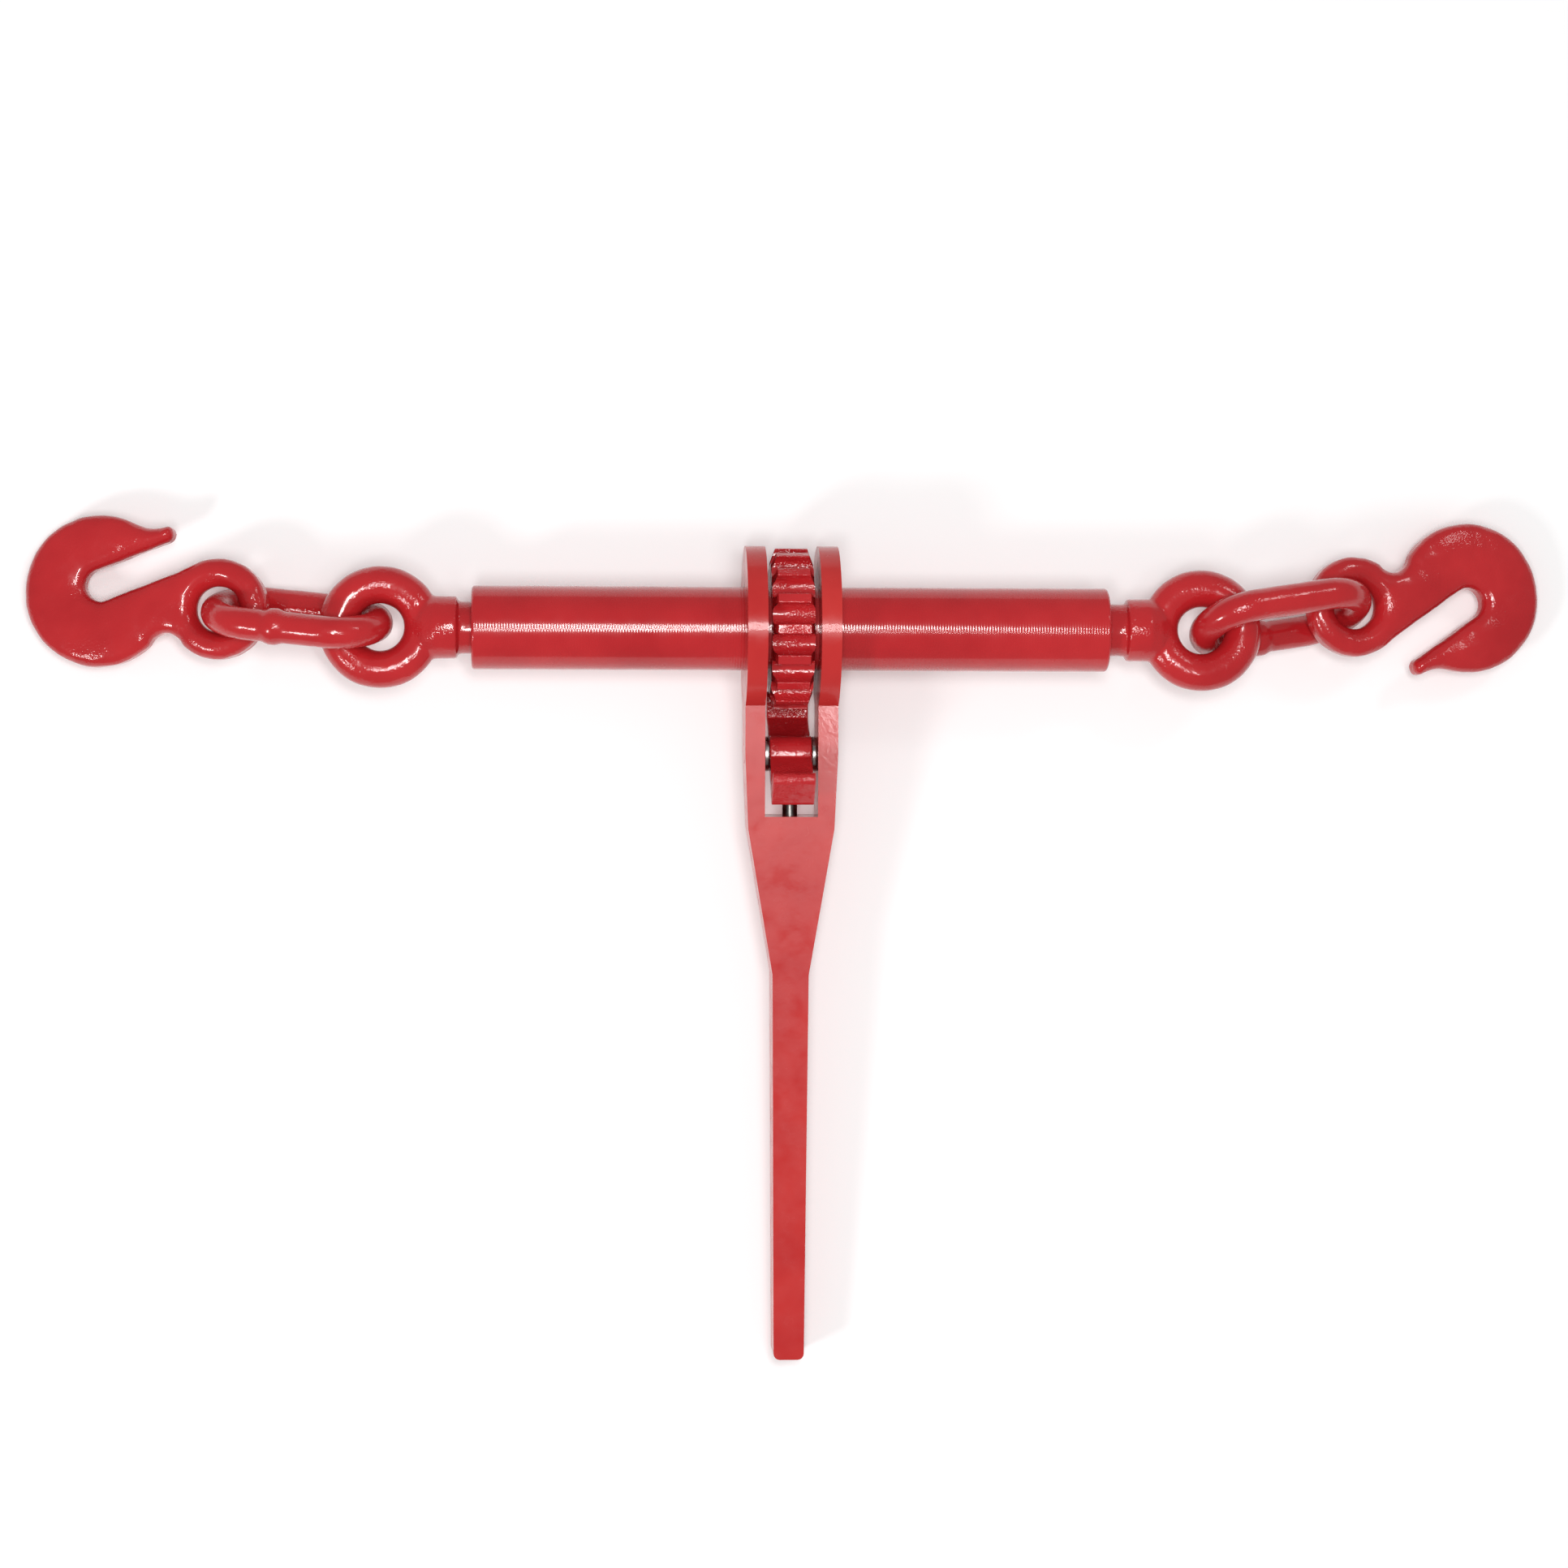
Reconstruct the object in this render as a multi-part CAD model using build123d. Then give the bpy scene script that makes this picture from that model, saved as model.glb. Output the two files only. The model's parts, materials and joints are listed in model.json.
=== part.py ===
from build123d import *
import os
from math import acos, asin, atan2, cos, degrees, hypot, pi, radians, sin, sqrt

# A ratchet chain load binder, lying on a bench. Millimetres, +Z up.
# While it is modelled, the origin is the middle of the barrel's axis, X runs along the
# barrel, and the handle points to -Y. lay_on_bench() moves every piece at the end.

# Barrel, its end bushings and the gear round its middle
barrel_length = 254.0
barrel_radius = 16.7
barrel_wall = 3.4
barrel_end_round = 1.2
nut_length = 16.0
gear_width = 16.8
gear_tip_radius = 32.0
gear_teeth = 16
valley_radius = 4.3
valley_centre_radius = 30.0
gear_bevel_width = 2.0
gear_bevel_depth = 5.5
key_radius = 2.0

# Eye screws
screw_radius = 10.5
thread_depth = 1.6
screw_pitch = 6.35
collar_radius = 12.5
collar_length = 9.5
neck_length = 5.4
eye_outer_radius = 24.4
eye_hole_radius = 9.4
eye_from_collar = 21.3
shank_at_eye = 0.8
right_screw_unwound = 2.0
middle_gap = 1.5
stop_pin_radius = 1.6
stop_pin_reach = 1.9
stop_pin_inset = 3.5

# Links
link_bar_radius = 6.3
link_length = 77.5
link_half_spread = 17.0
link_lean = 20.0
left_link_turn = 173.2
right_link_turn = 9.5

# Grab hooks. The bowl's centre is the hook's own origin, and the eye lies along +X.
hook_thickness = 14.0
hook_edge_round = 3.0
hook_hole_round = 5.4
bowl_radius = 30.4
hook_eye_radius = 20.2
hook_hole_radius = 9.0
eye_from_bowl = 49.5
slot_width = 12.7
slot_angle = 29.0
slot_end = (0.3, 2.3)
tip_run = 31.0
tip_height = 29.8
tip_nose = 2.6
tip_brow_length = 8.0
tip_brow_dip = 2.0
brow_leaves_crown = (1, -0.1)
brow_meets_tip = (1, 0.45)
neck_run = 26.0
neck_angle = 54.0
neck_valley = (31.0, -12.6)
heel_angle = 37.8
crown_angle = 84.0
left_hook_turn = -9.0
right_hook_turn = 185.3

# Handle: a yoke of two cheeks and a bar
cheek_radius = 33.0
cheek_thickness = 7.9
cheek_gap = 21.1
yoke_depth = 26.2
handle_reach = 292.0
handle_end_width = 12.1
handle_end_depth = 20.0
handle_end_round = 2.5
window_end = 74.6
arms_end = 79.4
arms_width = 34.3
bar_start = 137.7
bar_start_width = 14.4
bar_shoulder = 108.0
bar_shoulder_width = 24.6

# Pawl, its pin and the sprung plunger behind it
pawl_width = 16.8
pawl_pivot = 50.0
pawl_boss_radius = 7.3
pawl_nose_radius = 2.8
pawl_arm_half_width = 3.4
pawl_elbow_half_width = 4.0
pawl_arm_angle = 76.0
pawl_elbow = (16.5, 20.0)
pawl_valley = 1.5
pin_radius = 4.0
washer_radius = 7.0
plunger_radius = 3.0
plunger_length = 25.0
plunger_travel = 4.0
plunger_bore_end = 112.0
spring_wire_radius = 0.45
spring_turns = 7

# Fits
running_clearance = 0.08
seat_clearance = 0.03
washer_play = 0.15
link_play = 1.8
gap_between_bodies = 0.3

# How near two lengths are to be called the same edge
same_length = 0.01

# Values worked out from the sizes above
barrel_bore = barrel_radius - barrel_wall
half_barrel = barrel_length / 2
pin_rest = middle_gap + stop_pin_inset + stop_pin_radius + right_screw_unwound
pin_room = half_barrel - nut_length - pin_rest - gap_between_bodies
screw_turns = int(pin_room / screw_pitch)
take_up = screw_pitch * screw_turns
screw_root_radius = screw_radius - thread_depth
tooth_pitch = 360 / gear_teeth
handle_width = cheek_gap + 2 * cheek_thickness
link_bend_radius = link_half_spread
link_centres = link_length - 2 * link_bar_radius
eye_ring_radius = (eye_outer_radius + eye_hole_radius) / 2
eye_bar_radius = (eye_outer_radius - eye_hole_radius) / 2
left_eye_x = -(half_barrel + neck_length + collar_length + eye_from_collar)
right_eye_x = -left_eye_x + right_screw_unwound
link_pivot_offset = eye_bar_radius + link_bar_radius + link_play
handle_tilt = degrees(asin((cheek_radius - handle_end_depth / 2) / handle_reach))


def angle_that_reaches(run, rise, drop):
    """The angle in degrees at which run * sin + rise * cos comes to drop."""
    return degrees(asin(drop / hypot(run, rise)) - atan2(rise, run))


link_far_run = link_centres - link_pivot_offset
link_low_side = link_half_spread * cos(radians(link_lean))
link_drop = angle_that_reaches(
    link_far_run, link_low_side, cheek_radius - link_bar_radius - gap_between_bodies
)
hook_eye_height = cheek_radius - link_far_run * sin(radians(link_drop))
hook_run = eye_from_bowl * cos(radians(left_hook_turn)) + bowl_radius
hook_drop = angle_that_reaches(hook_run, hook_thickness / 2, hook_eye_height)

# The pawl's nose centre, seated in a valley of the gear, as seen from the pawl's pivot
nose_seat_radius = valley_centre_radius - (valley_radius - pawl_nose_radius - gap_between_bodies)
seat_angle = pawl_valley * tooth_pitch
nose_reach = sqrt(
    pawl_pivot**2
    + nose_seat_radius**2
    - 2 * pawl_pivot * nose_seat_radius * cos(radians(seat_angle))
)
seated_arm = degrees(asin(nose_seat_radius * sin(radians(seat_angle)) / nose_reach))
clear_radius = gear_tip_radius + pawl_nose_radius + 2 * gap_between_bodies
clear_arm = degrees(
    acos((pawl_pivot**2 + nose_reach**2 - clear_radius**2) / (2 * pawl_pivot * nose_reach))
)
pawl_seats_back = -(clear_arm - seated_arm)
pawl_seats_front = 2 * pawl_arm_angle - clear_arm - seated_arm
plunger_tip = pawl_pivot + pawl_boss_radius + gap_between_bodies


def polar(radius, angle):
    """A point in a side view, measured from the +first axis in degrees."""
    return (radius * cos(radians(angle)), radius * sin(radians(angle)))


def along_x(radius, start, end, y=0.0, z=0.0):
    """A round bar along X, from start to end."""
    return Pos((start + end) / 2, y, z) * Rot(0, 90, 0) * Cylinder(radius, end - start)


def side_extrusion(side_face, width):
    """A face drawn in a side view, with its X towards +Y and its Y towards +Z, given a width along X."""
    plane = Plane(origin=(0, 0, 0), x_dir=(0, 1, 0), z_dir=(1, 0, 0))
    return extrude(plane * side_face, width / 2, both=True)


def limb(start, end, start_half, end_half):
    """A tapered bar with round ends in a drawing."""
    length = hypot(end[0] - start[0], end[1] - start[1])
    turn = degrees(atan2(end[1] - start[1], end[0] - start[0]))
    corners = [(0, start_half), (length, end_half), (length, -end_half), (0, -start_half)]
    bar = Pos(*start) * Rot(0, 0, turn) * make_face(Polyline(*corners, close=True))
    return bar + Pos(*start) * Circle(start_half) + Pos(*end) * Circle(end_half)


def barrel_tube():
    tube = along_x(barrel_radius, -half_barrel, half_barrel)
    tube = fillet(tube.edges().filter_by(GeomType.CIRCLE), barrel_end_round)
    tube -= along_x(barrel_bore, -half_barrel, half_barrel)
    return tube - gear_keys(key_radius)


def barrel_nut(side):
    inner, outer = side * (half_barrel - nut_length), side * (half_barrel - barrel_end_round)
    nut = along_x(barrel_bore - seat_clearance, min(inner, outer), max(inner, outer))
    return nut - along_x(screw_radius + running_clearance, -half_barrel, half_barrel)


def gear_keys(radius):
    """Two round keys, half in the barrel and half in the gear."""
    half = gear_width / 2
    place = barrel_radius
    return along_x(radius, -half, half, z=place) + along_x(radius, -half, half, z=-place)


def ratchet_gear():
    outline = Circle(gear_tip_radius)
    for tooth in range(gear_teeth):
        turn = (tooth + 0.5) * tooth_pitch
        valley = Pos(*polar(valley_centre_radius, turn)) * Circle(valley_radius)
        mouth = Pos(*polar(valley_centre_radius + valley_radius, turn)) * Rot(0, 0, turn)
        outline -= valley + mouth * Rectangle(2 * valley_radius, 2 * valley_radius)
    gear = side_extrusion(outline, gear_width)
    half = gear_width / 2
    profile = [
        (0, 0),
        (gear_tip_radius, 0),
        (gear_tip_radius, half - gear_bevel_width),
        (gear_tip_radius - gear_bevel_depth, half),
        (0, half),
    ]
    cone_half = revolve(Plane.XZ * make_face(Polyline(*profile, close=True)), Axis.Z)
    blank = Rot(0, 90, 0) * (cone_half + mirror(cone_half, Plane.XY))
    gear &= blank
    gear -= along_x(barrel_radius + seat_clearance, -half, half)
    return gear - gear_keys(key_radius)


def eye_screw():
    """The right-hand one, with its eye towards +X. Its thread is drawn as ring grooves."""
    tail = middle_gap
    face = half_barrel + neck_length
    shoulder = face + collar_length
    shank_end = shoulder + eye_from_collar - eye_ring_radius
    points = [(tail, 0), (tail, screw_root_radius)]
    first = tail + stop_pin_inset + 2 * stop_pin_radius
    count = int((face - screw_pitch - first) / screw_pitch)
    flank = screw_pitch / 8
    crest = 3 * flank
    points.append((first, screw_root_radius))
    for turn in range(count):
        start = first + turn * screw_pitch
        points.append((start + flank, screw_radius))
        points.append((start + flank + crest, screw_radius))
        points.append((start + 2 * flank + crest, screw_root_radius))
        points.append((start + screw_pitch, screw_root_radius))
    points += [
        (points[-1][0] + flank, screw_radius),
        (face, screw_radius),
        (face, collar_radius),
        (shoulder, collar_radius),
        (shoulder + collar_radius / 2, screw_radius),
        (shank_end, screw_radius * shank_at_eye),
        (shank_end, 0),
    ]
    shank = revolve(make_face(Polyline(*points, close=True)), Axis.X)
    centre = shoulder + eye_from_collar
    eye = Pos(centre, 0, 0) * Torus(eye_ring_radius, eye_bar_radius)
    pin_hole = Pos(tail + stop_pin_inset, 0, 0) * Cylinder(stop_pin_radius, 2 * screw_radius)
    return shank + eye - pin_hole


def stop_pin():
    length = 2 * (screw_radius + stop_pin_reach)
    return Pos(middle_gap + stop_pin_inset, 0, 0) * Cylinder(stop_pin_radius - seat_clearance, length)


def mirrored(shape):
    return mirror(shape, Plane.YZ)


def link():
    """A chain link whose pivot end's bar stands at the origin, reaching to +X."""
    straight = link_centres - 2 * link_bend_radius
    path = SlotCenterToCenter(straight, 2 * link_bend_radius).wire()
    start = path @ 0
    section = Plane(origin=start, z_dir=path % 0) * Circle(link_bar_radius)
    loop = sweep(section, path)
    return Rot(90 - link_lean, 0, 0) * Pos(link_centres / 2, 0, 0) * loop


def hook_outline():
    """Drawn flat about the bowl's centre: slot, eye, neck, bowl and the tip over the slot."""
    along = polar(1, slot_angle)
    across = (-along[1], along[0])
    half = slot_width / 2

    def by_slot(run, rise):
        return (
            slot_end[0] + run * along[0] + rise * across[0],
            slot_end[1] + run * along[1] + rise * across[1],
        )

    def by_eye(angle):
        x, y = polar(hook_eye_radius, angle)
        return (eye_from_bowl + x, y)

    tip_base = by_slot(tip_run, half)
    tip_top = (tip_base[0], tip_height)
    brow_start = (tip_base[0] - tip_brow_length, tip_height - tip_brow_dip)
    nose_point = (tip_base[0] + tip_nose, (tip_base[1] + tip_height) / 2)
    meets_eye = by_eye(180 - neck_angle)
    heel = polar(bowl_radius, -heel_angle)
    crown = polar(bowl_radius, crown_angle)
    return make_face(
        [
            Line(tip_base, by_slot(0, half)),
            ThreePointArc(by_slot(0, half), by_slot(-half, 0), by_slot(0, -half)),
            Line(by_slot(0, -half), by_slot(neck_run, -half)),
            TangentArc(by_slot(neck_run, -half), meets_eye, tangent=along),
            ThreePointArc(meets_eye, by_eye(0), by_eye(180 + neck_angle)),
            ThreePointArc(by_eye(180 + neck_angle), neck_valley, heel),
            ThreePointArc(heel, (-bowl_radius, 0), crown),
            Spline(crown, brow_start, tip_top, tangents=[brow_leaves_crown, brow_meets_tip]),
            ThreePointArc(tip_top, nose_point, tip_base),
        ]
    )


def hook_rims(solid):
    """The edges of the two flat sides, with those round the eye's hole apart."""
    rims = [edge for face in solid.faces().filter_by(Plane.XY) for edge in face.edges()]
    round_hole = 2 * pi * hook_hole_radius
    hole_rims = [edge for edge in rims if abs(edge.length - round_hole) < same_length]
    return [edge for edge in rims if edge not in hole_rims], hole_rims


def hook():
    """A grab hook lying flat, with its eye at the origin and its bowl towards -X."""
    hole = Pos(eye_from_bowl, 0) * Circle(hook_hole_radius)
    solid = extrude(hook_outline() - hole, hook_thickness / 2, both=True)
    outer_rims, _ = hook_rims(solid)
    solid = fillet(outer_rims, hook_edge_round)
    _, hole_rims = hook_rims(solid)
    solid = fillet(hole_rims, hook_hole_round)
    return Pos(-eye_from_bowl, 0, 0) * solid


def handle():
    arm = [
        (0, -yoke_depth / 2),
        (0, yoke_depth / 2),
        (-handle_reach, handle_end_depth / 2),
        (-handle_reach, -handle_end_depth / 2),
    ]
    side = make_face(Polyline(*arm, close=True)) + Circle(cheek_radius)
    side = side_extrusion(side, handle_width)
    stations = [
        (-cheek_radius, handle_width),
        (pawl_pivot, handle_width),
        (arms_end, arms_width),
        (bar_shoulder, bar_shoulder_width),
        (bar_start, bar_start_width),
        (handle_reach, handle_end_width),
    ]
    right = [(width / 2, -reach) for reach, width in stations]
    left = [(-x, y) for x, y in reversed(right)]
    front = extrude(make_face(Polyline(*right, *left, close=True)), cheek_radius, both=True)
    body = front & side
    body -= Pos(0, (cheek_radius - window_end) / 2, 0) * Box(
        cheek_gap, window_end + cheek_radius, 2 * cheek_radius
    )
    corners = body.edges().filter_by(Axis.Z).sort_by(Axis.Y)[:2]
    body = fillet(corners, handle_end_round)
    body -= along_x(barrel_radius + running_clearance, -handle_width, handle_width)
    body -= along_x(pin_radius + seat_clearance, -handle_width, handle_width, y=-pawl_pivot)
    bore_length = plunger_bore_end - window_end
    bore = Pos(0, -window_end - bore_length / 2, 0) * Rot(90, 0, 0)
    return body - bore * Cylinder(plunger_radius + running_clearance, bore_length)


def pawl_outline():
    """The pawl in its side view about its pivot, standing clear of the gear on the back."""
    nose = polar(nose_reach, seated_arm)
    arm = limb((0, 0), pawl_elbow, pawl_arm_half_width, pawl_elbow_half_width)
    arm += limb(pawl_elbow, nose, pawl_elbow_half_width, pawl_nose_radius)
    front = Rot(0, 0, pawl_seats_front) * arm
    back = Rot(0, 0, pawl_seats_back) * mirror(arm, Plane.XZ)
    return Circle(pawl_boss_radius) + front + back


def pawl():
    body = side_extrusion(pawl_outline(), pawl_width)
    body = Pos(0, -pawl_pivot, 0) * body
    return body - along_x(pin_radius + running_clearance, -handle_width, handle_width, y=-pawl_pivot)


def pawl_pin():
    return along_x(pin_radius, -handle_width / 2, handle_width / 2, y=-pawl_pivot)


def pawl_washer(side):
    inner = pawl_width / 2 + washer_play
    outer = cheek_gap / 2 - washer_play
    low, high = sorted((side * inner, side * outer))
    ring = along_x(washer_radius, low, high, y=-pawl_pivot)
    return ring - along_x(pin_radius + running_clearance, low, high, y=-pawl_pivot)


def plunger():
    body = Cylinder(plunger_radius, plunger_length - plunger_radius)
    body = Pos(0, 0, -(plunger_length + plunger_radius) / 2) * body
    body += Pos(0, 0, -plunger_radius) * Sphere(plunger_radius)
    return Pos(0, -plunger_tip, 0) * Rot(-90, 0, 0) * body


def plunger_spring():
    coil_radius = plunger_radius - spring_wire_radius - running_clearance
    start = plunger_tip + plunger_length + spring_wire_radius
    length = plunger_bore_end - start - 2 * spring_wire_radius
    coil = Helix(length / spring_turns, length, coil_radius)
    section = Plane(origin=coil @ 0, z_dir=coil % 0) * Circle(spring_wire_radius)
    wire = sweep(section, coil, is_frenet=True)
    return Pos(0, -start - spring_wire_radius, 0) * Rot(90, 0, 0) * wire


def tilted(shape):
    """Tips the handle's group about the barrel's axis until its end meets the bench."""
    return Rot(handle_tilt, 0, 0) * shape


def at_eye(eye_x, turn):
    """A frame on the eye ring's centre, turned so that its X points along the link."""
    return Pos(eye_x, 0, 0) * Rot(0, 0, turn)


def placed_link(eye_x, turn):
    swing = Rot(0, link_drop, 0) * Pos(-link_pivot_offset, 0, 0)
    return at_eye(eye_x, turn) * Pos(eye_ring_radius, 0, 0) * swing * link()


def placed_hook(eye_x, link_turn, side, turn):
    run = eye_ring_radius + link_far_run * cos(radians(link_drop))
    far_bar = at_eye(eye_x, link_turn) * Pos(run, 0, hook_eye_height - cheek_radius)
    return Pos(far_bar.position) * Rot(0, side * hook_drop, 0) * Rot(0, 0, turn) * hook()


nodes = {
    "barrel_tube": barrel_tube(),
    "left_barrel_nut": barrel_nut(-1),
    "right_barrel_nut": barrel_nut(1),
    "ratchet_gear": ratchet_gear(),
    "gear_lock_pins": gear_keys(key_radius - seat_clearance),
    "handle": handle(),
    "pawl": pawl(),
    "pawl_pin": pawl_pin(),
    "left_pawl_washer": pawl_washer(-1),
    "right_pawl_washer": pawl_washer(1),
    "plunger": plunger(),
    "plunger_spring": plunger_spring(),
    "left_eye_screw": mirrored(eye_screw()),
    "right_eye_screw": Pos(right_screw_unwound, 0, 0) * eye_screw(),
    "left_stop_pin": mirrored(stop_pin()),
    "right_stop_pin": Pos(right_screw_unwound, 0, 0) * stop_pin(),
    "left_link": placed_link(left_eye_x, left_link_turn),
    "right_link": placed_link(right_eye_x, right_link_turn),
    "left_hook": placed_hook(left_eye_x, left_link_turn, -1, left_hook_turn),
    "right_hook": placed_hook(right_eye_x, right_link_turn, 1, right_hook_turn),
}
tilted_nodes = [
    "ratchet_gear",
    "gear_lock_pins",
    "handle",
    "pawl",
    "pawl_pin",
    "left_pawl_washer",
    "right_pawl_washer",
    "plunger",
    "plunger_spring",
    "barrel_tube",
]
for name in tilted_nodes:
    nodes[name] = tilted(nodes[name])

# The origin is on the bench, under the middle of the whole object's box
box = Compound(children=[Compound(shape.solids()) for shape in nodes.values()]).bounding_box()
to_bench = (-box.center().X, -box.center().Y, -box.min.Z)

os.makedirs("parts", exist_ok=True)
for name, shape in nodes.items():
    solids = (Pos(*to_bench) * shape).solids()
    export_step(solids[0] if len(solids) == 1 else Compound(solids), f"parts/{name}.step")

print(f"Each screw runs out {take_up:.1f} mm in {screw_turns} turns of the barrel")
print(f"The plunger goes in {plunger_travel} mm")
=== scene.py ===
import bpy
import json
from math import atan2, cos, pi, radians, sin
from mathutils import Matrix, Vector
from mathutils.kdtree import KDTree


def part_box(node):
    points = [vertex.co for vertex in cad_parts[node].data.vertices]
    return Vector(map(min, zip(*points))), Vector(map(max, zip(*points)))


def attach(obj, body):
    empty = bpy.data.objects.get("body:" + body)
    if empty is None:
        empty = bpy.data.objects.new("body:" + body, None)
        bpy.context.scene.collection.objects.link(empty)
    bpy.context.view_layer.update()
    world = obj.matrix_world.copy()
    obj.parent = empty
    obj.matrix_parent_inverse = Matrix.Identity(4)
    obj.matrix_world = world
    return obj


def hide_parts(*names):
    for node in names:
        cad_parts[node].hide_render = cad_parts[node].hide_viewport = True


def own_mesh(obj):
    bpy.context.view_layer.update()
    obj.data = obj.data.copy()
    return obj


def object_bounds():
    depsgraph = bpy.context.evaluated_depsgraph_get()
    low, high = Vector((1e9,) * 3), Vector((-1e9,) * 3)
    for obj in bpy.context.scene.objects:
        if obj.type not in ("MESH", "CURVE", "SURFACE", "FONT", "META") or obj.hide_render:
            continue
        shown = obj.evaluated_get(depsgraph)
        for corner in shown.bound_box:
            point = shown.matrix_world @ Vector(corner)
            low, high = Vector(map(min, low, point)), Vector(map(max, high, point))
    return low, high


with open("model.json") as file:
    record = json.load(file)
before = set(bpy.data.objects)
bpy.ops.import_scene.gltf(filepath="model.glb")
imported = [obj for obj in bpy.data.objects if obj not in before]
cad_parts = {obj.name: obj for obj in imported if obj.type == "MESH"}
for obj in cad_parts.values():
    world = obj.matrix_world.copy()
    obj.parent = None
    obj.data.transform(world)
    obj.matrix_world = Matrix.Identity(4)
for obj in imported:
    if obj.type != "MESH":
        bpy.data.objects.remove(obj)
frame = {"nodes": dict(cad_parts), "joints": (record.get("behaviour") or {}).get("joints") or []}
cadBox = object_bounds()
nodes = frame["nodes"]
joints = {j["name"]: j for j in frame["joints"]}

view = {"distance": 1.62, "fromLeft": 3.3, "elevation": 87.7, "frameWidth": 0.6252,
        "rightOfMiddle": 0.0026, "aboveMiddle": 0.062, "sensor": 36.0, "near": 0.05, "far": 20.0}
studio = {"skyStrength": 0.34, "floorMargin": 3.0, "floorGlow": 0.11, "floorGap": 0.0005, "floorWhite": 0.9,
          "floorRoughness": 0.9,
          "lamps": {"mainSoftbox": {"place": (0.02, 0.02, 1.6), "size": (0.37, 0.20), "power": 7.5},
                    "leftSoftbox": {"place": (-0.155, -0.26, 1.6), "size": (0.15, 0.34), "power": 6.0},
                    "rightSoftbox": {"place": (0.19, -0.28, 1.6), "size": (0.05, 0.34), "power": 2.0},
                    "cornerSoftbox": {"place": (-1.15, -0.85, 1.15), "size": (0.3, 0.3), "power": 8.0},
                    "farSoftbox": {"place": (1.0, 0.9, 1.3), "size": (0.3, 0.3), "power": 2.5}}}
enamel = {"deep": (0.42, 0.012, 0.016, 1), "bright": (0.51, 0.019, 0.023, 1), "gloss": (0.16, 0.30),
          # the handle's two tones are the red enamel made lighter: painted reflection of the bright
          # surroundings on the handle's face
          "handlePaintedLightDeep": (0.46, 0.022, 0.022, 1), "handlePaintedLightBright": (0.54, 0.034, 0.031, 1),
          "specular": 0.18, "coat": 0.6, "handleCoat": 0.22, "coatRoughness": 0.06,
          "cloudSize": 34.0, "sheenSize": 120.0, "pitSize": 1100.0, "patchSize": 70.0,
          "lumpDepth": 0.0006, "grainDepth": 0.0001, "pitDepth": 0.0005}
ribs = {"pitch": 0.0011, "strength": 0.35, "depth": 0.00006, "waveScale": 0.314, "distortion": 1.5}
steelLook = {"cloudSize": 220.0, "scratchSize": 1500.0, "scratchDepth": 0.00005, "wear": (0.7, 1.3)}


def boxCentre(node):
    low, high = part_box(node)
    return (low + high) / 2


barrelLow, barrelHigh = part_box("barrel_tube")
barrelCentre = (barrelLow + barrelHigh) / 2
gearCentre = boxCentre("ratchet_gear")
gearCentre = Vector((gearCentre.x, barrelCentre.y, barrelCentre.z))


def clearSelection():
    bpy.ops.object.select_all(action="DESELECT")


def newFinish(name):
    finish = bpy.data.materials.new(name)
    finish.use_nodes = True
    tree = finish.node_tree
    shader = tree.nodes["Principled BSDF"]
    place = tree.nodes.new("ShaderNodeTexCoord")
    return finish, tree, shader, place


def addNoise(tree, place, scale, detail=3.0, rough=0.55):
    noise = tree.nodes.new("ShaderNodeTexNoise")
    noise.inputs["Scale"].default_value = scale
    noise.inputs["Detail"].default_value = detail
    noise.inputs["Roughness"].default_value = rough
    tree.links.new(place.outputs["Object"], noise.inputs["Vector"])
    return noise


def addRamp(tree, source, low, high, lowColour, highColour):
    ramp = tree.nodes.new("ShaderNodeValToRGB")
    ramp.color_ramp.elements[0].position = low
    ramp.color_ramp.elements[1].position = high
    ramp.color_ramp.elements[0].color = lowColour
    ramp.color_ramp.elements[1].color = highColour
    tree.links.new(source, ramp.inputs["Fac"])
    return ramp


def addBump(tree, height, strength, distance, before=None):
    bump = tree.nodes.new("ShaderNodeBump")
    bump.inputs["Strength"].default_value = strength
    bump.inputs["Distance"].default_value = distance
    tree.links.new(height, bump.inputs["Height"])
    if before:
        tree.links.new(before.outputs["Normal"], bump.inputs["Normal"])
    return bump


def redEnamel(name, deep, bright, lumps, lumpSize, grain, grainSize, speckle=0.0, coat=enamel["coat"]):
    finish, tree, shader, place = newFinish(name)
    cloud = addNoise(tree, place, enamel["cloudSize"])
    tone = addRamp(tree, cloud.outputs["Fac"], 0.3, 0.7, deep, bright)
    tree.links.new(tone.outputs["Color"], shader.inputs["Base Color"])
    low, high = enamel["gloss"]
    sheen = addNoise(tree, place, enamel["sheenSize"])
    gloss = addRamp(tree, sheen.outputs["Fac"], 0.35, 0.7, (low, low, low, 1), (high, high, high, 1))
    tree.links.new(gloss.outputs["Color"], shader.inputs["Roughness"])
    big = addNoise(tree, place, lumpSize, 2.0)
    fine = addNoise(tree, place, grainSize, 2.0)
    first = addBump(tree, big.outputs["Fac"], lumps, enamel["lumpDepth"])
    second = addBump(tree, fine.outputs["Fac"], grain, enamel["grainDepth"], first)
    last = second
    if speckle:
        pits = addNoise(tree, place, enamel["pitSize"], 1.0)
        patch = addNoise(tree, place, enamel["patchSize"], 1.0)
        where = addRamp(tree, patch.outputs["Fac"], 0.42, 0.62, (0, 0, 0, 1), (1, 1, 1, 1))
        joined = tree.nodes.new("ShaderNodeMath")
        joined.operation = "MULTIPLY"
        tree.links.new(pits.outputs["Fac"], joined.inputs[0])
        tree.links.new(where.outputs["Color"], joined.inputs[1])
        last = addBump(tree, joined.outputs["Value"], speckle, enamel["pitDepth"], second)
    tree.links.new(last.outputs["Normal"], shader.inputs["Normal"])
    tree.links.new(last.outputs["Normal"], shader.inputs["Coat Normal"])
    shader.inputs["Specular IOR Level"].default_value = enamel["specular"]
    shader.inputs["Coat Weight"].default_value = coat
    shader.inputs["Coat Roughness"].default_value = enamel["coatRoughness"]
    return finish


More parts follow.
